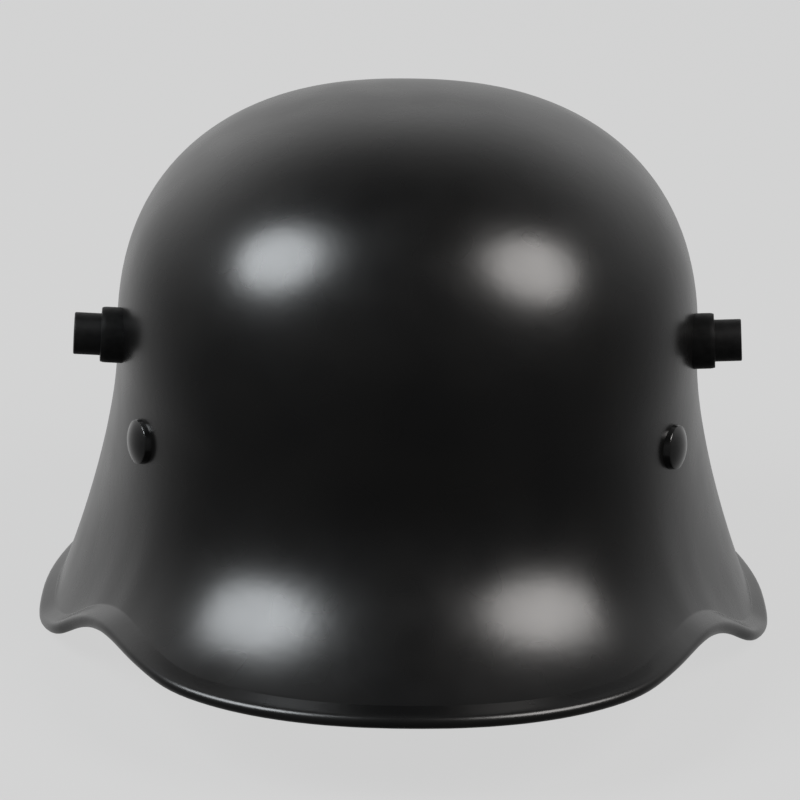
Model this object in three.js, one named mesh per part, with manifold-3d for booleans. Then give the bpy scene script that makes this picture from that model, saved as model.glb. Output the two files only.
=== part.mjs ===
import * as THREE from 'three';
import { mergeVertices } from 'three/addons/utils/BufferGeometryUtils.js';
import Module from 'manifold-3d';

// Pressed steel helmet with a deep visor, a flared neck guard, stepped side lugs and domed liner rivets.
// Millimetres, +Z up, visor towards -Y, standing on the edge of its neck guard at Z = 0.

// The crown, from its top down to the waist where the wall stands upright.
// A fullness of 2 is an ellipse, and more than 2 is squarer.
const CROWN_HEIGHT = 178;
const WAIST_REACH = { front: 97.5, side: 93.8, back: 104 };
const WAIST_HEIGHT = { front: 83.5, side: 101, back: 94 };
const CROWN_FULLNESS = { front: 2.62, side: 2.31, back: 2.1 };
const OUTLINE_FULLNESS = 2.18;

// The flare below the waist: the shares of its drop that the wall keeps upright at the waist,
// and that it runs straight on before the lip.
const FLARE_UPRIGHT = { front: 0.54, side: 0.3, back: 0.33 };
const FLARE_STRAIGHT = { front: 0.32, side: 0.29, back: 0.29 };

// The rim, one row for each place round the helmet, the same on both sides.
// angle: degrees from the middle of the visor. reach: from the waist out to the foot of the lip.
// rim: underside of the rolled edge above the ground. slope and tilt: degrees from upright, of flare and lip.
// lip: width of the rolled edge, from the crease to its outer side.
const RIM_STATIONS = [
  { angle: 0, reach: 42, rim: 28.9, slope: 63.7, tilt: 78, lip: 7.2 },
  { angle: 30, reach: 33.4, rim: 26.6, slope: 63.7, tilt: 78, lip: 7.6 },
  { angle: 40, reach: 25.2, rim: 27, slope: 53.5, tilt: 73, lip: 8.4 },
  { angle: 50, reach: 17.4, rim: 26.2, slope: 40, tilt: 68, lip: 9.2 },
  { angle: 60, reach: 14.2, rim: 21.6, slope: 33.4, tilt: 67, lip: 9 },
  { angle: 68, reach: 15.5, rim: 14.2, slope: 33.4, tilt: 67, lip: 8.4 },
  { angle: 74, reach: 19, rim: 6.5, slope: 35.8, tilt: 66, lip: 7.5 },
  { angle: 79, reach: 20.3, rim: 3.1, slope: 33.1, tilt: 64, lip: 7.3 },
  { angle: 85, reach: 21.8, rim: 0, slope: 29, tilt: 63, lip: 7.2 },
  { angle: 93, reach: 21.9, rim: 0, slope: 22, tilt: 62, lip: 7.2 },
  { angle: 115, reach: 20, rim: 0, slope: 28, tilt: 63, lip: 7.2 },
  { angle: 150, reach: 27.5, rim: 0, slope: 42, tilt: 68, lip: 7.2 },
  { angle: 180, reach: 35.9, rim: 0, slope: 48, tilt: 72, lip: 7.2 },
];
const HALF_TURN = 180;
const FULL_TURN = 360;

// Each rim value is an average of the stations' curve over a few degrees, by these shares.
const SOFTENING = [
  { shift: -4, share: 1 / 12 },
  { shift: -2, share: 3 / 12 },
  { shift: 0, share: 4 / 12 },
  { shift: 2, share: 3 / 12 },
  { shift: 4, share: 1 / 12 },
];

// The sheet, and the edge rolled under to make the lip.
const SHEET = 1.1;
const CREASE_RADIUS = 1.5;
const EDGE_RADIUS = 2.15;
const REST_FLAT = 0.3;

const SATIN_BLACK_PAINT = { color: 0x151516, roughness: 0.42, metalness: 0 };
const DULL_BLACK_STEEL = { color: 0x0d0d0e, roughness: 0.6, metalness: 0.3 };
const GLOSS_BLACK_STEEL = { color: 0x0b0b0c, roughness: 0.25, metalness: 0.3 };

// A stepped vent lug on each temple, riveted through the wall.
// angle: degrees from the front to its seat. forward, rise: degrees that its axis points ahead and up.
const LUG = {
  angle: 78.5,
  height: 105.6,
  forward: 4,
  rise: 4,
  collarRadius: 8.9,
  collarLength: 5.9,
  tipRadius: 6.7,
  tipLength: 8.6,
  shankRadius: 5.5,
  footRadius: 7.5,
  footDepth: 4.3,
  boreRadius: 2.5,
  chamfer: 0.5,
  sides: 26,
  finish: DULL_BLACK_STEEL,
};

// A domed liner rivet on each temple and one at the back.
// lift: how far its axis points up from square to the wall, as rise over length.
const RIVET = {
  headRadius: 7.35,
  headHeight: 3.8,
  headEdge: 1.7,
  shankRadius: 2.5,
  footRadius: 5,
  footDepth: 2.8,
  lift: 0.05,
  headSteps: 5,
  sides: 22,
  finish: GLOSS_BLACK_STEEL,
};
const RIVET_PLACES = [
  { name: 'rivet_left', angle: -61.4, height: 80.6 },
  { name: 'rivet_right', angle: 61.4, height: 80.6 },
  { name: 'rivet_back', angle: 180, height: 80.6 },
];

// Clearance between each fitting and the wall.
const GAP = 0.3;

// How finely the wall is divided, round the helmet and down its section.
const COLUMNS = [
  { from: 0, to: 44, steps: 8 },
  { from: 44, to: 88, steps: 15 },
  { from: 88, to: 180, steps: 11 },
];
const COURSE_STEPS = { crown: 12, flare: 8, crease: 3, lip: 1 };
const EDGE_STEPS = 6;

// Places down a section: each part of it takes one unit, from its top to its foot.
const CROWN_FOOT = 1;
const FLARE_FOOT = 2;
const CREASE_FOOT = 3;
const LIP_FOOT = 4;
const ROLLED_END = 1.96;

// Small steps used to measure slopes on the surface, and to search for a height on it.
const COURSE_NUDGE = 1e-4;
const ANGLE_NUDGE = 0.05;
const SEARCH_STEPS = 40;

const wasm = await Module();
wasm.setup();

const signedPower = (value, power) => Math.sign(value) * Math.abs(value) ** power;

// Angle from the front, between 0 and a half turn, on either side.
function foldedAngle(angle) {
  const turned = ((angle % FULL_TURN) + FULL_TURN) % FULL_TURN;
  return turned > HALF_TURN ? FULL_TURN - turned : turned;
}

// Slope of a rim value at one station: level where the value turns, and at both ends.
function stationSlope(key, index) {
  if (index === 0 || index === RIM_STATIONS.length - 1) return 0;
  const [before, here, after] = RIM_STATIONS.slice(index - 1, index + 2);
  const arriving = (here[key] - before[key]) / (here.angle - before.angle);
  const leaving = (after[key] - here[key]) / (after.angle - here.angle);
  if (arriving * leaving <= 0) return 0;
  return (2 * arriving * leaving) / (arriving + leaving);
}

// Smooth curve through the stations that never overshoots them.
function stationCurve(key, angle) {
  const folded = foldedAngle(angle);
  const next = RIM_STATIONS.findIndex((station) => station.angle > folded);
  const index = next < 0 ? RIM_STATIONS.length - 2 : next - 1;
  const start = RIM_STATIONS[index];
  const end = RIM_STATIONS[index + 1];
  const span = end.angle - start.angle;
  const share = (folded - start.angle) / span;
  const rest = 1 - share;
  const fromStart = rest * rest * (start[key] * (1 + 2 * share) + stationSlope(key, index) * span * share);
  const fromEnd = share * share * (end[key] * (1 + 2 * rest) - stationSlope(key, index + 1) * span * rest);
  return fromStart + fromEnd;
}

function rimValue(key, angle) {
  return SOFTENING.reduce((sum, { shift, share }) => sum + share * stationCurve(key, angle + shift), 0);
}

// The outer face along one section of the helmet, as a function of the place down the section.
function section(angle) {
  const turn = THREE.MathUtils.degToRad(angle);
  const ahead = Math.cos(turn);
  const aside = Math.sin(turn);
  const blend = (sizes) => {
    const end = ahead > 0 ? sizes.front : sizes.back;
    return sizes.side + (end - sizes.side) * ahead * ahead;
  };

  const length = ahead > 0 ? WAIST_REACH.front : WAIST_REACH.back;
  const waistX = WAIST_REACH.side * signedPower(aside, 2 / OUTLINE_FULLNESS);
  const waistY = -length * signedPower(ahead, 2 / OUTLINE_FULLNESS);
  const outward = new THREE.Vector2(
    signedPower(waistX / WAIST_REACH.side, OUTLINE_FULLNESS - 1) / WAIST_REACH.side,
    signedPower(waistY / length, OUTLINE_FULLNESS - 1) / length,
  ).normalize();
  const waistZ = blend(WAIST_HEIGHT);
  const crownPower = 2 / blend(CROWN_FULLNESS);

  const reach = rimValue('reach', angle);
  const slope = THREE.MathUtils.degToRad(rimValue('slope', angle));
  const tilt = THREE.MathUtils.degToRad(rimValue('tilt', angle));
  const creaseDrop = CREASE_RADIUS * (Math.sin(tilt) - Math.sin(slope));
  const creaseReach = CREASE_RADIUS * (Math.cos(slope) - Math.cos(tilt));
  const lipRun = rimValue('lip', angle) - CREASE_RADIUS * (tilt - slope) - EDGE_RADIUS;
  const edgeDrop = EDGE_RADIUS * (1 + Math.sin(tilt));
  const lipFoot = rimValue('rim', angle) - REST_FLAT + edgeDrop;
  const creaseFoot = lipFoot + lipRun * Math.cos(tilt);
  const flareFoot = creaseFoot + creaseDrop;

  const drop = waistZ - flareFoot;
  const straight = blend(FLARE_STRAIGHT) * drop;
  const flare = new THREE.CubicBezierCurve(
    new THREE.Vector2(0, waistZ),
    new THREE.Vector2(0, waistZ - blend(FLARE_UPRIGHT) * drop),
    new THREE.Vector2(reach - straight * Math.sin(slope), flareFoot + straight * Math.cos(slope)),
    new THREE.Vector2(reach, flareFoot),
  );
  const fromWaist = (out, z) => new THREE.Vector3(waistX + outward.x * out, waistY + outward.y * out, z);

  return (course) => {
    if (course <= CROWN_FOOT) {
      const bend = (course * Math.PI) / 2;
      const spread = Math.sin(bend) ** crownPower;
      const rise = Math.max(Math.cos(bend), 0) ** crownPower;
      return new THREE.Vector3(waistX * spread, waistY * spread, waistZ + (CROWN_HEIGHT - waistZ) * rise);
    }
    if (course <= FLARE_FOOT) {
      const place = flare.getPoint(course - CROWN_FOOT);
      return fromWaist(place.x, place.y);
    }
    if (course <= CREASE_FOOT) {
      const lean = slope + (tilt - slope) * (course - FLARE_FOOT);
      const out = reach + CREASE_RADIUS * (Math.cos(slope) - Math.cos(lean));
      return fromWaist(out, flareFoot - CREASE_RADIUS * (Math.sin(lean) - Math.sin(slope)));
    }
    const run = lipRun * (course - CREASE_FOOT);
    return fromWaist(reach + creaseReach + run * Math.sin(tilt), creaseFoot - run * Math.cos(tilt));
  };
}

// Point, outward normal and downward direction on the outer face, along one section.
function surface(angle) {
  const here = section(angle);
  const before = section(angle - ANGLE_NUDGE);
  const after = section(angle + ANGLE_NUDGE);
  return (course) => {
    const point = here(course);
    if (course === 0) return { point, normal: new THREE.Vector3(0, 0, 1), down: new THREE.Vector3() };
    const above = here(Math.max(course - COURSE_NUDGE, 0));
    const down = here(Math.min(course + COURSE_NUDGE, LIP_FOOT)).sub(above).normalize();
    const along = after(course).sub(before(course));
    const normal = new THREE.Vector3().crossVectors(down, along).normalize();
    return { point, normal, down };
  };
}

// Places down the outer face, from below the top of the crown to the end of the lip.
function outerCourses() {
  return Object.values(COURSE_STEPS).flatMap((steps, part) =>
    Array.from({ length: steps }, (_, step) => part + (step + 1) / steps));
}

// Rows of the closed wall: down its outer face, round the rolled edge and up its inner face.
function wallRows(swell) {
  const outer = [0, ...outerCourses()];
  const rolled = (course) => (course >= FLARE_FOOT ? 2 * EDGE_RADIUS : SHEET);
  const edge = Array.from({ length: EDGE_STEPS - 1 }, (_, step) => (step + 1) / EDGE_STEPS);
  const inner = [...outer, ROLLED_END].sort((one, other) => other - one);
  return [
    ...outer.map((course) => ({ course, depth: -swell })),
    ...edge.map((share) => ({ course: LIP_FOOT, turn: share * Math.PI })),
    ...inner.map((course) => ({ course, depth: rolled(course) + swell })),
  ];
}

// Where one row of the wall lies, on the section whose outer face is given.
function wallPoint(face, row, swell) {
  const { point, normal, down } = face(row.course);
  if (row.turn === undefined) {
    point.addScaledVector(normal, -row.depth);
  } else {
    const radius = EDGE_RADIUS + swell;
    point.addScaledVector(normal, radius * Math.cos(row.turn) - EDGE_RADIUS);
    point.addScaledVector(down, radius * Math.sin(row.turn));
  }
  point.z = Math.max(point.z, 0);
  return point;
}

function columnAngles() {
  const half = COLUMNS.flatMap(({ from, to, steps }) =>
    Array.from({ length: steps }, (_, step) => from + ((to - from) * step) / steps));
  const otherHalf = half.slice(1).map((angle) => FULL_TURN - angle).reverse();
  return [...half, HALF_TURN, ...otherHalf, FULL_TURN];
}

// The whole wall as one closed skin: a ball whose upper half becomes the outer face
// and whose lower half is folded up to become the inner face.
function wallGeometry(swell) {
  const angles = columnAngles();
  const rows = wallRows(swell);
  const ball = new THREE.SphereGeometry(1, angles.length - 1, rows.length - 1);
  const places = ball.getAttribute('position');
  angles.forEach((angle, column) => {
    const face = surface(angle % FULL_TURN);
    rows.forEach((row, index) => {
      const place = wallPoint(face, row, swell);
      places.setXYZ(index * angles.length + column, place.x, place.y, place.z);
    });
  });
  return ball;
}

// Closed solid of a geometry, without the faces that a pole pinches to a line.
function toSolid(geometry) {
  const bare = geometry.clone();
  bare.deleteAttribute('normal');
  bare.deleteAttribute('uv');
  const welded = mergeVertices(bare);
  const corners = welded.getIndex().array;
  const faces = [];
  for (let start = 0; start < corners.length; start += 3) {
    const face = corners.slice(start, start + 3);
    if (new Set(face).size === 3) faces.push(...face);
  }
  return new wasm.Manifold(new wasm.Mesh({
    numProp: 3,
    vertProperties: new Float32Array(welded.getAttribute('position').array),
    triVerts: new Uint32Array(faces),
  }));
}

function toGeometry(solid) {
  const { vertProperties, triVerts } = solid.getMesh();
  const geometry = new THREE.BufferGeometry();
  geometry.setAttribute('position', new THREE.BufferAttribute(vertProperties, 3));
  geometry.setIndex(new THREE.BufferAttribute(triVerts, 1));
  geometry.computeVertexNormals();
  return geometry;
}

// Point and normal of the outer face at a height above the ground.
function faceAtHeight(angle, height) {
  const face = surface(angle);
  let upper = 0;
  let lower = FLARE_FOOT;
  for (let step = 0; step < SEARCH_STEPS; step += 1) {
    const middle = (upper + lower) / 2;
    if (face(middle).point.z > height) upper = middle;
    else lower = middle;
  }
  return face(lower);
}

// Placement of a fitting turned about its own Y axis, with its seat at a point of the wall.
function fittingPlace(point, axis) {
  const turn = new THREE.Quaternion().setFromUnitVectors(new THREE.Vector3(0, 1, 0), axis);
  return new THREE.Matrix4().compose(point, turn, new THREE.Vector3(1, 1, 1));
}

function turned(profile, sides) {
  return new THREE.LatheGeometry(profile.map(([radius, height]) => new THREE.Vector2(radius, height)), sides);
}

// Half section of a lug: up the outside from its foot inside the helmet, over the tip and down the vent bore.
function lugProfile() {
  const step = LUG.collarLength;
  const end = step + LUG.tipLength;
  return [
    [LUG.boreRadius, -LUG.footDepth],
    [LUG.footRadius - LUG.chamfer, -LUG.footDepth],
    [LUG.footRadius, -LUG.footDepth + LUG.chamfer],
    [LUG.footRadius, -SHEET / 2],
    [LUG.collarRadius, -SHEET / 2],
    [LUG.collarRadius, step - LUG.chamfer],
    [LUG.collarRadius - LUG.chamfer, step],
    [LUG.tipRadius, step],
    [LUG.tipRadius, end - LUG.chamfer],
    [LUG.tipRadius - LUG.chamfer, end],
    [LUG.boreRadius + LUG.chamfer, end],
    [LUG.boreRadius, end - LUG.chamfer],
    [LUG.boreRadius, -LUG.footDepth],
  ];
}

// Half section of a rivet: from its foot inside the helmet to the top of its domed head.
function rivetProfile() {
  const cap = RIVET.headHeight - RIVET.headEdge;
  const ball = (RIVET.headRadius ** 2 + cap ** 2) / (2 * cap);
  const widest = Math.asin(RIVET.headRadius / ball);
  const dome = Array.from({ length: RIVET.headSteps }, (_, step) => {
    const bend = widest * (1 - (step + 1) / RIVET.headSteps);
    return [ball * Math.sin(bend), RIVET.headHeight - ball * (1 - Math.cos(bend))];
  });
  return [
    [0, -RIVET.footDepth],
    [RIVET.footRadius, -RIVET.footDepth],
    [RIVET.footRadius, -SHEET / 2],
    [RIVET.headRadius, -SHEET / 2],
    [RIVET.headRadius, RIVET.headEdge],
    ...dome,
  ];
}

function shankCylinder(radius, sides) {
  const reach = 2 * LUG.collarRadius;
  return new THREE.CylinderGeometry(radius, radius, reach, sides);
}

// A turned fitting, trimmed to sit on both faces of the wall with its shank through it.
function seatedFitting(profile, size, place) {
  const wallHere = clearWall.clone().applyMatrix4(place.clone().invert());
  const seat = toSolid(wallHere).subtract(toSolid(shankCylinder(size.shankRadius, size.sides)));
  return toGeometry(toSolid(turned(profile, size.sides)).subtract(seat));
}

function shankHole(size, place) {
  return toSolid(shankCylinder(size.shankRadius + GAP, size.sides).applyMatrix4(place));
}

const clearWall = wallGeometry(GAP);

const fittings = [
  ...['left', 'right'].map((side) => {
    const sign = side === 'left' ? -1 : 1;
    const forward = THREE.MathUtils.degToRad(LUG.forward);
    const rise = THREE.MathUtils.degToRad(LUG.rise);
    const ahead = Math.sin(forward) * Math.cos(rise);
    const aside = Math.cos(forward) * Math.cos(rise);
    const axis = new THREE.Vector3(sign * aside, -ahead, Math.sin(rise));
    const { point } = faceAtHeight(sign * LUG.angle, LUG.height);
    return { name: `lug_${side}`, size: LUG, profile: lugProfile(), place: fittingPlace(point, axis) };
  }),
  ...RIVET_PLACES.map(({ name, angle, height }) => {
    const { point, normal } = faceAtHeight(angle, height);
    const axis = normal.add(new THREE.Vector3(0, 0, RIVET.lift)).normalize();
    return { name, size: RIVET, profile: rivetProfile(), place: fittingPlace(point, axis) };
  }),
];

const helmet = new THREE.Group();
helmet.name = 'steel_helmet';

let drilledShell = toSolid(wallGeometry(0));
fittings.forEach(({ size, place }) => {
  drilledShell = drilledShell.subtract(shankHole(size, place));
});
const shell = new THREE.Mesh(toGeometry(drilledShell), new THREE.MeshStandardMaterial(SATIN_BLACK_PAINT));
shell.name = 'shell';
helmet.add(shell);

const hardware = new THREE.Group();
hardware.name = 'hardware';
fittings.forEach(({ name, size, profile, place }) => {
  const finish = new THREE.MeshStandardMaterial(size.finish);
  const fitting = new THREE.Mesh(seatedFitting(profile, size, place), finish);
  fitting.name = name;
  fitting.applyMatrix4(place);
  hardware.add(fitting);
});
helmet.add(hardware);

export default helmet;
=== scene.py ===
import math
from collections import namedtuple

import bmesh
import bpy
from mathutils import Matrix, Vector


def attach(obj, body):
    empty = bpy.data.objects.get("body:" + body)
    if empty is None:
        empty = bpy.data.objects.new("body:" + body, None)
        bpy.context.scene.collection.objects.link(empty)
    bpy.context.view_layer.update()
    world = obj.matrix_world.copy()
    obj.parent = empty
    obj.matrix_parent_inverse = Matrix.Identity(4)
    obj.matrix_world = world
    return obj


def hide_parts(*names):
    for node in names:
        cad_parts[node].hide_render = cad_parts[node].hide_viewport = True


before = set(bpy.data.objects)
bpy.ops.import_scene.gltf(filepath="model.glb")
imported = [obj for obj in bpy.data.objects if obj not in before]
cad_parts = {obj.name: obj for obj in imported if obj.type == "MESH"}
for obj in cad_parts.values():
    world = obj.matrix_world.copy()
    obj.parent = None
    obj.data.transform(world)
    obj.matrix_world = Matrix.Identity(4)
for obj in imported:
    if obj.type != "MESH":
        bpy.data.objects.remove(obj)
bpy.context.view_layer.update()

# Pressed steel helmet with a deep visor and a flared neck guard, painted satin black.
# Sizes are written in millimetres and used in metres. The visor looks along -Y.
MM = 0.001

# The crown, from its top down to the waist where the wall stands upright.
# A fullness of 2 is an ellipse, and more than 2 is squarer.
CROWN_HEIGHT = 178 * MM
WAIST_REACH = {"front": 97.5 * MM, "side": 93.8 * MM, "back": 104 * MM}
WAIST_HEIGHT = {"front": 83.5 * MM, "side": 101 * MM, "back": 94 * MM}
CROWN_FULLNESS = {"front": 2.62, "side": 2.31, "back": 2.1}
OUTLINE_FULLNESS = 2.18

# The flare: shares of its drop that stay upright below the waist and run straight into the lip.
FLARE_UPRIGHT = {"front": 0.54, "side": 0.3, "back": 0.33}
FLARE_STRAIGHT = {"front": 0.32, "side": 0.29, "back": 0.29}

# The rim round the helmet. angle: degrees from the middle of the visor. reach: waist to lip.
# rim: underside of the edge above the ground. slope, tilt: of flare and lip, degrees from upright.
# lip: width of the rolled edge, from the crease to its outer side.
Station = namedtuple("Station", "angle reach rim slope tilt lip")
RIM_STATIONS = [
    Station(0, 42, 28.9, 63.7, 78, 7.2),
    Station(30, 33.4, 26.6, 63.7, 78, 7.6),
    Station(40, 25.2, 27, 53.5, 73, 8.4),
    Station(50, 17.4, 26.2, 40, 68, 9.2),
    Station(60, 14.2, 21.6, 33.4, 67, 9),
    Station(68, 15.5, 14.2, 33.4, 67, 8.4),
    Station(74, 19, 6.5, 35.8, 66, 7.5),
    Station(79, 20.3, 3.1, 33.1, 64, 7.3),
    Station(85, 21.8, 0, 29, 63, 7.2),
    Station(93, 21.9, 0, 22, 62, 7.2),
    Station(115, 20, 0, 28, 63, 7.2),
    Station(150, 27.5, 0, 42, 68, 7.2),
    Station(180, 35.9, 0, 48, 72, 7.2),
]
SOFTENING = {-4: 1 / 12, -2: 3 / 12, 0: 4 / 12, 2: 3 / 12, 4: 1 / 12}
FULL_TURN = 360
HALF_TURN = 180

# The sheet, and the hem that is rolled under to make the lip.
SHEET = 1.1 * MM
CREASE_RADIUS = 1.5 * MM
EDGE_RADIUS = 2.15 * MM
REST_FLAT = 0.3 * MM

# Places down a section: each part of it takes one unit, from its top to its foot.
CROWN_FOOT, FLARE_FOOT, CREASE_FOOT, LIP_FOOT = 1, 2, 3, 4
HEM_END = 2.4

# How finely the sheet is divided, round the helmet and down its section.
Span = namedtuple("Span", "start end steps")
COLUMNS = [Span(0, 44, 28), Span(44, 88, 52), Span(88, HALF_TURN, 46)]
CROWN_STEPS = 40
SKIRT_STEPS = {CROWN_FOOT: 34, FLARE_FOOT: 6, CREASE_FOOT: 3}
EDGE_STEPS = 10
HEM_STEPS = 6

# Small steps used to measure slopes on the surface, and to search for a height on it.
COURSE_NUDGE = 1e-4
ANGLE_NUDGE = 0.05
SEARCH_STEPS = 40

# Turned fittings: half sections as radius and height above the wall, all in millimetres.
# A seat row starts clear of the wall and is then let down onto its outer or inner face.
Turn = namedtuple("Turn", "radius height seat round", defaults=(None, 0))
OUTER, INNER = "outer_face", "inner_face"
SEAT_SINK = 0.06 * MM
FITTING_SIDES = 72
ROUND_STEPS = 3
SAME_PLACE = 1e-6

LUG_BORE, LUG_SHANK, LUG_FOOT, LUG_COLLAR, LUG_TIP = 2.5, 5.5, 7.5, 8.9, 6.7
LUG_STEP = 5.9
LUG_TIP_LENGTH = 8.6
LUG_END = LUG_STEP + LUG_TIP_LENGTH
LUG_DEPTH = -4.3
LUG_CLEAR_INSIDE, LUG_CLEAR_OUTSIDE = -3.3, 2.6
LUG_SECTION = [
    Turn(LUG_BORE, LUG_DEPTH, round=0.4),
    Turn(LUG_FOOT, LUG_DEPTH, round=0.7),
    Turn(LUG_FOOT, LUG_CLEAR_INSIDE, INNER),
    Turn(LUG_SHANK, LUG_CLEAR_INSIDE, INNER),
    Turn(LUG_SHANK, LUG_CLEAR_OUTSIDE, OUTER),
    Turn(LUG_COLLAR, LUG_CLEAR_OUTSIDE, OUTER),
    Turn(LUG_COLLAR, LUG_STEP, round=0.55),
    Turn(LUG_TIP, LUG_STEP, round=0.25),
    Turn(LUG_TIP, LUG_END, round=0.45),
    Turn(LUG_BORE, LUG_END, round=0.5),
]
LUG_ANGLE = 78.5
LUG_HEIGHT = 105.6 * MM
LUG_FORWARD = math.radians(4)
LUG_RISE = math.radians(4)

RIVET_SHANK, RIVET_FOOT, RIVET_HEAD = 2.5, 5, 7.35
RIVET_EDGE = 1.7
RIVET_RISE = 3.8
RIVET_CAP = RIVET_RISE - RIVET_EDGE
RIVET_BALL = (RIVET_HEAD ** 2 + RIVET_CAP ** 2) / (2 * RIVET_CAP)
RIVET_DEPTH = -2.8
RIVET_CLEAR_INSIDE, RIVET_CLEAR_OUTSIDE = -2.1, 1.6
DOME_STEPS = 14
RIVET_SECTION = [
    Turn(0, RIVET_DEPTH),
    Turn(RIVET_FOOT, RIVET_DEPTH, round=0.5),
    Turn(RIVET_FOOT, RIVET_CLEAR_INSIDE, INNER),
    Turn(RIVET_SHANK, RIVET_CLEAR_INSIDE, INNER),
    Turn(RIVET_SHANK, RIVET_CLEAR_OUTSIDE, OUTER),
    Turn(RIVET_HEAD, RIVET_CLEAR_OUTSIDE, OUTER),
    Turn(RIVET_HEAD, RIVET_EDGE, round=0.9),
]
RIVET_HEIGHT = 80.6 * MM
# How far a rivet points up from square to the wall, as rise over length.
RIVET_LIFT = 0.05
RIVET_ANGLES = {"rivet_left": -61.4, "rivet_right": 61.4, "rivet_back": HALF_TURN}
DRILL_GAP = 0.3 * MM
SMOOTH_UNDER = math.radians(38)

# The camera looks down on the visor, from a little to one side of straight ahead.
VIEW_CENTRE = Vector((0, 0, 85 * MM))
VIEW_DISTANCE = 1.3
VIEW_ELEVATION = math.radians(22)
VIEW_ANGLE = math.radians(-0.6)
VIEW_AIM = Vector((-2.1 * MM, -3.2 * MM, 76.4 * MM))
VIEW_ROLL = math.radians(0.78)
VIEW_LENS = 179.3
SENSOR = 36

# Round soft boxes. angle: degrees from the visor's front towards +X. rise: degrees up.
# across and distance: metres. power: watts.
SoftBox = namedtuple("SoftBox", "name angle rise across distance power colour")
SOFT_BOXES = [
    SoftBox("soft_box_left", -71.8, 47, 2.3, 4, 178, (0.93, 0.97, 1.0)),
    SoftBox("soft_box_right", 64.3, 46, 2.3, 4, 137, (1.0, 0.97, 0.95)),
]
# Brightness of the room along each axis of the direction looked in: sideways, back and up.
ROOM_ALONG = {
    "X": (
        (-1, 0.86), (-0.6, 0.8), (-0.4, 0.66), (-0.2, 0.5),
        (0, 0.42), (0.2, 0.45), (0.4, 0.58), (1, 0.92),
    ),
    "Y": (
        (-1, 0.21), (-0.87, 0.21), (-0.64, 0.17), (-0.34, 0.17),
        (0, 0.28), (0.34, 0.55), (0.7, 1.05), (1, 2.2),
    ),
    "Z": (
        (-1, 0.68), (-0.3, 0.68), (0, 0.67), (0.2, 0.84),
        (0.42, 1), (0.65, 0.78), (0.82, 0.5), (1, 0.3),
    ),
}
FLOOR_SIDE = 12
FLOOR_DROP = 0.1 * MM
FLOOR_GREY = 0.03
FLOOR_GLOW = 0.61
PALE_GREY = 0.645

# Black finishes: two tones, and noise for tone, roughness and surface unevenness. depth: in metres.
Noise = namedtuple("Noise", "scale detail low high", defaults=(0, 1))
Finish = namedtuple("Finish", "name dark light tone roughness specular relief strength depth")
SATIN_PAINT = Finish(
    "shell_paint", (0.0022, 0.0022, 0.0023, 1), (0.0033, 0.0032, 0.0031, 1),
    tone=Noise(38, 1), roughness=Noise(55, 1, 0.26, 0.30), specular=0.5,
    relief=Noise(300, 1), strength=0.05, depth=0.2 * MM)
DULL_STEEL = Finish(
    "lug_steel", (0.0030, 0.0030, 0.0031, 1), (0.0060, 0.0060, 0.0060, 1),
    tone=Noise(420, 4), roughness=Noise(600, 3, 0.42, 0.55), specular=0.12,
    relief=Noise(1600, 3), strength=0.12, depth=0.1 * MM)
GLOSS_STEEL = Finish(
    "rivet_steel", (0.0030, 0.0030, 0.0031, 1), (0.0055, 0.0055, 0.0055, 1),
    tone=Noise(300, 4), roughness=Noise(500, 3, 0.17, 0.22), specular=0.8,
    relief=Noise(1200, 2), strength=0.04, depth=0.1 * MM)
NOISE_LOW, NOISE_HIGH = 0.3, 0.7


def signed_power(value, power):
    return math.copysign(abs(value) ** power, value)


def folded_angle(angle):
    """Angle from the front, between 0 and a half turn, on either side."""
    turned = angle % FULL_TURN
    return FULL_TURN - turned if turned > HALF_TURN else turned


def station_slope(key, index):
    """Slope of a rim value at one station: level where the value turns, and at both ends."""
    if index in (0, len(RIM_STATIONS) - 1):
        return 0
    before, here, after = RIM_STATIONS[index - 1:index + 2]
    arriving = (getattr(here, key) - getattr(before, key)) / (here.angle - before.angle)
    leaving = (getattr(after, key) - getattr(here, key)) / (after.angle - here.angle)
    if arriving * leaving <= 0:
        return 0
    return 2 * arriving * leaving / (arriving + leaving)


def station_curve(key, angle):
    """Smooth curve through the stations that never overshoots them."""
    folded = folded_angle(angle)
    index = sum(station.angle <= folded for station in RIM_STATIONS[1:-1])
    start, end = RIM_STATIONS[index:index + 2]
    span = end.angle - start.angle
    share = (folded - start.angle) / span
    rest = 1 - share
    leaving = station_slope(key, index) * span * share
    arriving = station_slope(key, index + 1) * span * rest
    from_start = rest * rest * (getattr(start, key) * (1 + 2 * share) + leaving)
    from_end = share * share * (getattr(end, key) * (1 + 2 * rest) - arriving)
    return from_start + from_end


def rim_value(key, angle):
    return sum(share * station_curve(key, angle + shift) for shift, share in SOFTENING.items())


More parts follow.
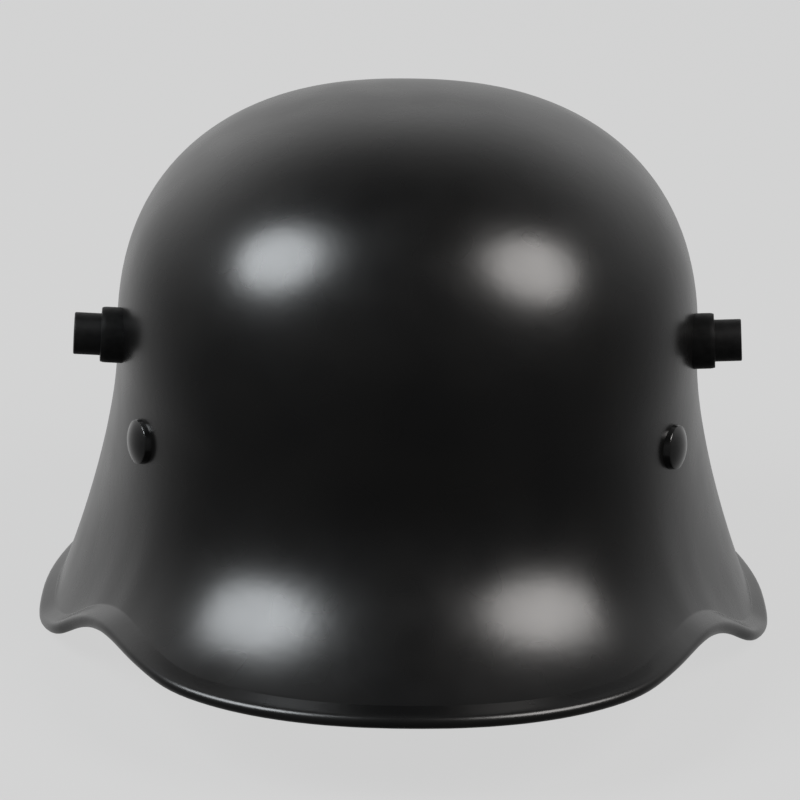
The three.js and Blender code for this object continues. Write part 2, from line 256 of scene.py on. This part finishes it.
def section(angle):
    """The outer face along one section, as a function of the place down the section."""
    turn = math.radians(angle)
    ahead, aside = math.cos(turn), math.sin(turn)
    end = "front" if ahead > 0 else "back"

    def blend(sizes):
        return sizes["side"] + (sizes[end] - sizes["side"]) * ahead * ahead

    side, length = WAIST_REACH["side"], WAIST_REACH[end]
    waist_x = side * signed_power(aside, 2 / OUTLINE_FULLNESS)
    waist_y = -length * signed_power(ahead, 2 / OUTLINE_FULLNESS)
    outward = Vector((
        signed_power(waist_x / side, OUTLINE_FULLNESS - 1) / side,
        signed_power(waist_y / length, OUTLINE_FULLNESS - 1) / length,
    )).normalized()
    waist_z = blend(WAIST_HEIGHT)
    crown_power = 2 / blend(CROWN_FULLNESS)

    reach = rim_value("reach", angle) * MM
    slope = math.radians(rim_value("slope", angle))
    tilt = math.radians(rim_value("tilt", angle))
    crease_drop = CREASE_RADIUS * (math.sin(tilt) - math.sin(slope))
    crease_reach = CREASE_RADIUS * (math.cos(slope) - math.cos(tilt))
    lip_run = rim_value("lip", angle) * MM - CREASE_RADIUS * (tilt - slope) - EDGE_RADIUS
    lip_foot = rim_value("rim", angle) * MM - REST_FLAT + EDGE_RADIUS * (1 + math.sin(tilt))
    crease_foot = lip_foot + lip_run * math.cos(tilt)
    flare_foot = crease_foot + crease_drop

    drop = waist_z - flare_foot
    straight = blend(FLARE_STRAIGHT) * drop
    flare = [
        Vector((0, waist_z)),
        Vector((0, waist_z - blend(FLARE_UPRIGHT) * drop)),
        Vector((reach - straight * math.sin(slope), flare_foot + straight * math.cos(slope))),
        Vector((reach, flare_foot)),
    ]

    def from_waist(out, z):
        return Vector((waist_x + outward.x * out, waist_y + outward.y * out, z))

    def face(course):
        if course <= CROWN_FOOT:
            bend = course * math.pi / 2
            spread = math.sin(bend) ** crown_power
            rise = max(math.cos(bend), 0) ** crown_power
            return Vector((waist_x * spread, waist_y * spread, waist_z + (CROWN_HEIGHT - waist_z) * rise))
        if course <= FLARE_FOOT:
            share = course - CROWN_FOOT
            rest = 1 - share
            weights = (rest ** 3, 3 * rest * rest * share, 3 * rest * share * share, share ** 3)
            place = sum((weight * point for weight, point in zip(weights, flare)), Vector((0, 0)))
            return from_waist(*place)
        if course <= CREASE_FOOT:
            lean = slope + (tilt - slope) * (course - FLARE_FOOT)
            out = reach + CREASE_RADIUS * (math.cos(slope) - math.cos(lean))
            return from_waist(out, flare_foot - CREASE_RADIUS * (math.sin(lean) - math.sin(slope)))
        run = lip_run * (course - CREASE_FOOT)
        return from_waist(reach + crease_reach + run * math.sin(tilt), crease_foot - run * math.cos(tilt))

    return face


def surface(angle):
    """Point, outward normal and downward direction on the outer face, along one section."""
    here, before, after = section(angle), section(angle - ANGLE_NUDGE), section(angle + ANGLE_NUDGE)

    def face(course):
        above = here(max(course - COURSE_NUDGE, 0))
        down = (here(min(course + COURSE_NUDGE, LIP_FOOT)) - above).normalized()
        normal = down.cross(after(course) - before(course)).normalized()
        return here(course), normal, down

    return face


def face_at_height(angle, height):
    """Point and normal of the outer face at a height above the ground."""
    face = surface(angle)
    upper, lower = 0, FLARE_FOOT
    for _ in range(SEARCH_STEPS):
        middle = (upper + lower) / 2
        if face(middle)[0].z > height:
            upper = middle
        else:
            lower = middle
    return face(lower)[:2]


def deselect():
    if bpy.context.mode != "OBJECT":
        bpy.ops.object.mode_set(mode="OBJECT")
    bpy.ops.object.select_all(action="DESELECT")


def work_on(piece):
    deselect()
    piece.select_set(True)
    bpy.context.view_layer.objects.active = piece


def named(name):
    """The piece that was added last, under its own name."""
    piece = bpy.context.object
    piece.name = piece.data.name = name
    return piece


def finish_with(piece, kind, **settings):
    """Adds a modifier to the piece and applies it."""
    work_on(piece)
    modifier = piece.modifiers.new(kind.lower(), kind)
    for key, value in settings.items():
        setattr(modifier, key, value)
    bpy.ops.object.modifier_apply(modifier=modifier.name)


def column_angles():
    half = [
        span.start + (span.end - span.start) * step / span.steps
        for span in COLUMNS for step in range(span.steps)
    ]
    return half + [HALF_TURN] + [FULL_TURN - angle for angle in reversed(half[1:])]


def lay_ring(sheet, faces, course, depth=0.0, turn=None):
    """Sets the selected ring of the sheet on one course of the wall's sections."""
    skin = bmesh.from_edit_mesh(sheet.data)
    column = skin.verts.layers.int["column"]
    for vertex in (vertex for vertex in skin.verts if vertex.select):
        point, normal, down = faces[vertex[column]](course)
        if turn is None:
            place = point - normal * depth
        else:
            place = point + (normal * (math.cos(turn) - 1) + down * math.sin(turn)) * EDGE_RADIUS
        vertex.co = (place.x, place.y, max(place.z, 0))
    bmesh.update_edit_mesh(sheet.data)


def next_ring(sheet, faces, course, **place):
    """Extrudes the selected ring and lays the new one on its course."""
    bpy.ops.mesh.extrude_edges_move(TRANSFORM_OT_translate={"value": (0, 0, EDGE_RADIUS)})
    lay_ring(sheet, faces, course, **place)


def pressed_shell():
    """The wall: a ring at the waist, drawn up into the crown and down to the rolled edge."""
    angles = column_angles()
    faces = [surface(angle) for angle in angles]
    deselect()
    bpy.ops.mesh.primitive_circle_add(
        vertices=len(angles), radius=WAIST_REACH["side"], location=(0, 0, WAIST_HEIGHT["side"]))
    bpy.ops.object.transform_apply(location=True, rotation=False, scale=False)
    sheet = named("helmet_shell")
    bpy.ops.object.mode_set(mode="EDIT")
    bpy.ops.mesh.select_mode(type="VERT")
    skin = bmesh.from_edit_mesh(sheet.data)
    column = skin.verts.layers.int.new("column")
    skin.verts.ensure_lookup_table()
    for place, vertex in enumerate(skin.verts):
        vertex[column] = place
    lay_ring(sheet, faces, CROWN_FOOT)

    for step in reversed(range(1, CROWN_STEPS)):
        next_ring(sheet, faces, CROWN_FOOT * step / CROWN_STEPS)
    bpy.ops.mesh.extrude_edges_move(TRANSFORM_OT_translate={"value": (0, 0, EDGE_RADIUS)})
    bpy.ops.mesh.merge(type="CENTER")
    lay_apex(sheet)

    bpy.ops.mesh.select_all(action="DESELECT")
    bpy.ops.mesh.select_non_manifold(
        use_wire=False, use_multi_face=False, use_non_contiguous=False, use_verts=False)
    for part, steps in SKIRT_STEPS.items():
        for step in range(steps):
            next_ring(sheet, faces, part + (step + 1) / steps)
    for step in range(EDGE_STEPS):
        next_ring(sheet, faces, LIP_FOOT, turn=math.pi * (step + 1) / EDGE_STEPS)
    for step in range(HEM_STEPS):
        course = LIP_FOOT + (HEM_END - LIP_FOOT) * (step + 1) / HEM_STEPS
        next_ring(sheet, faces, course, depth=2 * EDGE_RADIUS)

    bpy.ops.mesh.select_all(action="SELECT")
    bpy.ops.mesh.normals_make_consistent(inside=False)
    bpy.ops.object.mode_set(mode="OBJECT")
    finish_with(sheet, "SOLIDIFY", thickness=SHEET, offset=-1, use_even_offset=True)
    sheet.data.attributes.remove(sheet.data.attributes["column"])
    bpy.ops.object.shade_smooth_by_angle(angle=SMOOTH_UNDER)
    return sheet


def lay_apex(sheet):
    """Sets the one selected vertex at the top of the crown."""
    skin = bmesh.from_edit_mesh(sheet.data)
    for vertex in (vertex for vertex in skin.verts if vertex.select):
        vertex.co = (0, 0, CROWN_HEIGHT)
    bmesh.update_edit_mesh(sheet.data)


def on_ring(vertex, turn):
    radius = math.hypot(vertex.co.x, vertex.co.y)
    return abs(radius - turn.radius * MM) < SAME_PLACE and abs(vertex.co.z - turn.height * MM) < SAME_PLACE


def turned_blank(name, half_section, closed):
    """A turned piece about the Z axis: its half section is drawn, spun and rounded at its corners."""
    deselect()
    bpy.ops.mesh.primitive_plane_add(size=MM)
    blank = named(name)
    bpy.ops.object.mode_set(mode="EDIT")
    bpy.ops.mesh.select_mode(type="VERT")
    bpy.ops.mesh.select_all(action="SELECT")
    bpy.ops.mesh.merge(type="CENTER")
    start = half_section[0]
    bpy.ops.transform.translate(value=(start.radius * MM, 0, start.height * MM))
    for here, there in zip(half_section, half_section[1:] + [start] * closed):
        step = ((there.radius - here.radius) * MM, 0, (there.height - here.height) * MM)
        bpy.ops.mesh.extrude_vertices_move(TRANSFORM_OT_translate={"value": step})
    bpy.ops.mesh.select_all(action="SELECT")
    bpy.ops.mesh.spin(steps=FITTING_SIDES, angle=math.tau, center=(0, 0, 0), axis=(0, 0, 1))
    bpy.ops.mesh.select_all(action="SELECT")
    bpy.ops.mesh.remove_doubles(threshold=SAME_PLACE)
    bpy.ops.mesh.dissolve_degenerate(threshold=SAME_PLACE)
    bpy.ops.mesh.select_all(action="SELECT")
    bpy.ops.mesh.normals_make_consistent(inside=False)

    seats = {OUTER: [], INNER: []}
    skin = bmesh.from_edit_mesh(blank.data)
    for turn in half_section:
        if turn.seat:
            seats[turn.seat] += [vertex.index for vertex in skin.verts if on_ring(vertex, turn)]
    bpy.ops.object.mode_set(mode="OBJECT")
    for seat, ring in seats.items():
        blank.vertex_groups.new(name=seat).add(ring, 1, "REPLACE")
    bpy.ops.object.mode_set(mode="EDIT")
    for turn in half_section:
        if turn.round:
            round_ring(blank, turn)
    bpy.ops.object.mode_set(mode="OBJECT")
    return blank


def round_ring(blank, turn):
    """Rounds one corner of a turned piece."""
    bpy.ops.mesh.select_mode(type="EDGE")
    bpy.ops.mesh.select_all(action="DESELECT")
    skin = bmesh.from_edit_mesh(blank.data)
    for edge in skin.edges:
        edge.select_set(all(on_ring(vertex, turn) for vertex in edge.verts))
    bmesh.update_edit_mesh(blank.data)
    bpy.ops.mesh.bevel(offset=turn.round * MM, segments=ROUND_STEPS, affect="EDGES")


def seated_copy(blank, name, wall, point, axis):
    """A copy of a turned piece, stood on the wall along its axis and let down onto both faces of the wall."""
    work_on(blank)
    bpy.ops.object.duplicate(linked=False)
    piece = named(name)
    piece.location = point
    piece.rotation_euler = axis.to_track_quat("Z", "Y").to_euler()
    for seat, outwards in ((OUTER, False), (INNER, True)):
        finish_with(
            piece, "SHRINKWRAP", target=wall, vertex_group=seat, wrap_method="PROJECT", use_project_z=True,
            use_negative_direction=not outwards, use_positive_direction=outwards, offset=-SEAT_SINK)
    piece.vertex_groups.clear()
    bpy.ops.object.transform_apply(location=True, rotation=True, scale=True)
    bpy.ops.object.shade_smooth_by_angle(angle=SMOOTH_UNDER)
    return piece


def drill(wall, holes):
    """Cuts the shank holes through the wall."""
    deselect()
    drills = []
    for point, axis, radius in holes:
        bpy.ops.mesh.primitive_cylinder_add(
            vertices=FITTING_SIDES, radius=radius, depth=2 * LUG_COLLAR * MM, location=point,
            rotation=axis.to_track_quat("Z", "Y").to_euler())
        drills.append(bpy.context.object)
    deselect()
    for tool in drills:
        tool.select_set(True)
    bpy.context.view_layer.objects.active = drills[0]
    bpy.ops.object.join()
    tool = named("drills")
    finish_with(wall, "BOOLEAN", object=tool, operation="DIFFERENCE", solver="EXACT")
    bpy.data.objects.remove(tool)


def fittings(wall):
    """The two lugs and three rivets, seated on the wall, and the holes that they need."""
    pieces, holes = [], []
    lug = turned_blank("lug_blank", LUG_SECTION, closed=True)
    for name, sign in (("lug_left", -1), ("lug_right", 1)):
        point, _ = face_at_height(sign * LUG_ANGLE, LUG_HEIGHT)
        axis = direction(sign * (math.pi / 2 - LUG_FORWARD), LUG_RISE)
        pieces.append(seated_copy(lug, name + "_turned", wall, point, axis))
        holes.append((point, axis, LUG_SHANK * MM + DRILL_GAP))
    bpy.data.objects.remove(lug)

    widest = math.asin(RIVET_HEAD / RIVET_BALL)
    bends = (widest * (1 - (step + 1) / DOME_STEPS) for step in range(DOME_STEPS))
    dome = [
        Turn(RIVET_BALL * math.sin(bend), RIVET_RISE - RIVET_BALL * (1 - math.cos(bend))) for bend in bends
    ]
    rivet = turned_blank("rivet_blank", RIVET_SECTION + dome, closed=False)
    for name, angle in RIVET_ANGLES.items():
        point, normal = face_at_height(angle, RIVET_HEIGHT)
        axis = (normal + Vector((0, 0, RIVET_LIFT))).normalized()
        pieces.append(seated_copy(rivet, name + "_turned", wall, point, axis))
        holes.append((point, axis, RIVET_SHANK * MM + DRILL_GAP))
    bpy.data.objects.remove(rivet)
    return pieces, holes


def new_material(name):
    material = bpy.data.materials.new(name)
    material.use_nodes = True
    nodes, links = material.node_tree.nodes, material.node_tree.links
    return material, nodes, links, nodes["Principled BSDF"]


def grain(nodes, links, noise):
    """Noise over the piece in its own frame, spread between two values."""
    place = nodes.new("ShaderNodeTexCoord")
    cloud = nodes.new("ShaderNodeTexNoise")
    cloud.inputs["Scale"].default_value = noise.scale
    cloud.inputs["Detail"].default_value = noise.detail
    links.new(place.outputs["Object"], cloud.inputs["Vector"])
    spread = nodes.new("ShaderNodeMapRange")
    spread.inputs["From Min"].default_value = NOISE_LOW
    spread.inputs["From Max"].default_value = NOISE_HIGH
    spread.inputs["To Min"].default_value = noise.low
    spread.inputs["To Max"].default_value = noise.high
    links.new(cloud.outputs["Fac"], spread.inputs["Value"])
    return spread.outputs["Result"]


def black_finish(finish):
    """A black surface whose tone and roughness vary a little and which isn't quite even."""
    material, nodes, links, shader = new_material(finish.name)
    shader.inputs["Specular IOR Level"].default_value = finish.specular
    tone = nodes.new("ShaderNodeMix")
    tone.data_type = "RGBA"
    tone.inputs["A"].default_value = finish.dark
    tone.inputs["B"].default_value = finish.light
    links.new(grain(nodes, links, finish.tone), tone.inputs["Factor"])
    links.new(tone.outputs["Result"], shader.inputs["Base Color"])
    links.new(grain(nodes, links, finish.roughness), shader.inputs["Roughness"])
    relief = nodes.new("ShaderNodeBump")
    relief.inputs["Strength"].default_value = finish.strength
    relief.inputs["Distance"].default_value = finish.depth
    links.new(grain(nodes, links, finish.relief), relief.inputs["Height"])
    links.new(relief.outputs["Normal"], shader.inputs["Normal"])
    return material


def finish_piece(piece, node, material):
    """Paints a piece, and sets it in the frame in place of its node."""
    piece.data.materials.clear()
    piece.data.materials.append(material)
    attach(piece, "root")
    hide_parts(node)


def pale_floor():
    deselect()
    bpy.ops.mesh.primitive_plane_add(size=FLOOR_SIDE, location=(0, 0, -FLOOR_DROP))
    floor = named("floor")
    material, _, _, shader = new_material("pale_floor")
    shader.inputs["Base Color"].default_value = (FLOOR_GREY, FLOOR_GREY, FLOOR_GREY, 1)
    shader.inputs["Roughness"].default_value = 1
    shader.inputs["Specular IOR Level"].default_value = 0
    shader.inputs["Emission Color"].default_value = (1, 1, 1, 1)
    shader.inputs["Emission Strength"].default_value = FLOOR_GLOW
    floor.data.materials.append(material)
    floor.visible_glossy = False


def direction(angle, rise):
    """Unit vector at an angle from straight ahead towards +X, and a rise above level."""
    return Vector((math.sin(angle) * math.cos(rise), -math.cos(angle) * math.cos(rise), math.sin(rise)))


def studio_light():
    for box in SOFT_BOXES:
        towards = direction(math.radians(box.angle), math.radians(box.rise))
        place = VIEW_CENTRE + towards * box.distance
        bpy.ops.object.light_add(
            type="AREA", location=place, rotation=towards.to_track_quat("Z", "Y").to_euler())
        lamp = bpy.context.object
        lamp.name = lamp.data.name = box.name
        lamp.data.shape = "DISK"
        lamp.data.size = box.across
        lamp.data.energy = box.power
        lamp.data.color = box.colour


def brightness_along(nodes, links, axis, stops):
    """Brightness of the room by one axis of the direction looked in, from -1 to 1."""
    curve = nodes.new("ShaderNodeFloatCurve")
    curve.inputs["Factor"].default_value = 1
    line = curve.mapping.curves[0]
    while len(line.points) < len(stops):
        line.points.new(0, 0)
    for point, (place, grey) in zip(line.points, stops):
        point.location = ((place + 1) / 2, grey)
        point.handle_type = "AUTO_CLAMPED"
    curve.mapping.use_clip = False
    curve.mapping.update()
    spread = nodes.new("ShaderNodeMapRange")
    spread.inputs["From Min"].default_value = -1
    spread.inputs["From Max"].default_value = 1
    links.new(axis, spread.inputs["Value"])
    links.new(spread.outputs["Result"], curve.inputs["Value"])
    return curve.outputs["Value"]


def studio_room():
    """A room that is dark towards the visor and pale behind the helmet, and a plain pale backdrop."""
    world = bpy.data.worlds.new("studio_room")
    bpy.context.scene.world = world
    world.use_nodes = True
    nodes, links = world.node_tree.nodes, world.node_tree.links
    place = nodes.new("ShaderNodeTexCoord")
    axes = nodes.new("ShaderNodeSeparateXYZ")
    links.new(place.outputs["Generated"], axes.inputs["Vector"])
    room = None
    for axis, stops in ROOM_ALONG.items():
        share = brightness_along(nodes, links, axes.outputs[axis], stops)
        if room is None:
            room = share
            continue
        product = nodes.new("ShaderNodeMath")
        product.operation = "MULTIPLY"
        links.new(room, product.inputs[0])
        links.new(share, product.inputs[1])
        room = product.outputs["Value"]
    seen = nodes.new("ShaderNodeLightPath")
    backdrop = nodes.new("ShaderNodeMix")
    backdrop.data_type = "RGBA"
    backdrop.inputs["B"].default_value = (PALE_GREY, PALE_GREY, PALE_GREY, 1)
    links.new(seen.outputs["Is Camera Ray"], backdrop.inputs["Factor"])
    links.new(room, backdrop.inputs["A"])
    links.new(backdrop.outputs["Result"], nodes["Background"].inputs["Color"])


def camera():
    place = VIEW_CENTRE + direction(VIEW_ANGLE, VIEW_ELEVATION) * VIEW_DISTANCE
    look = (VIEW_AIM - place).to_track_quat("-Z", "Y")
    bpy.ops.object.camera_add(location=place)
    eye = bpy.context.object
    eye.name = eye.data.name = "camera"
    eye.rotation_euler = look.to_euler()
    eye.rotation_euler.rotate_axis("Z", VIEW_ROLL)
    eye.data.sensor_width = SENSOR
    eye.data.lens = VIEW_LENS
    bpy.context.scene.camera = eye


camera()
studio_light()
studio_room()
pale_floor()
bpy.context.scene.view_settings.view_transform = "Standard"

shell = pressed_shell()
turned, holes = fittings(shell)
drill(shell, holes)

finish_piece(shell, "shell", black_finish(SATIN_PAINT))
dull, gloss = black_finish(DULL_STEEL), black_finish(GLOSS_STEEL)
for piece in turned:
    node = piece.name.removesuffix("_turned")
    if node.startswith("lug"):
        finish_piece(piece, node, dull)
    else:
        finish_piece(piece, node, gloss)
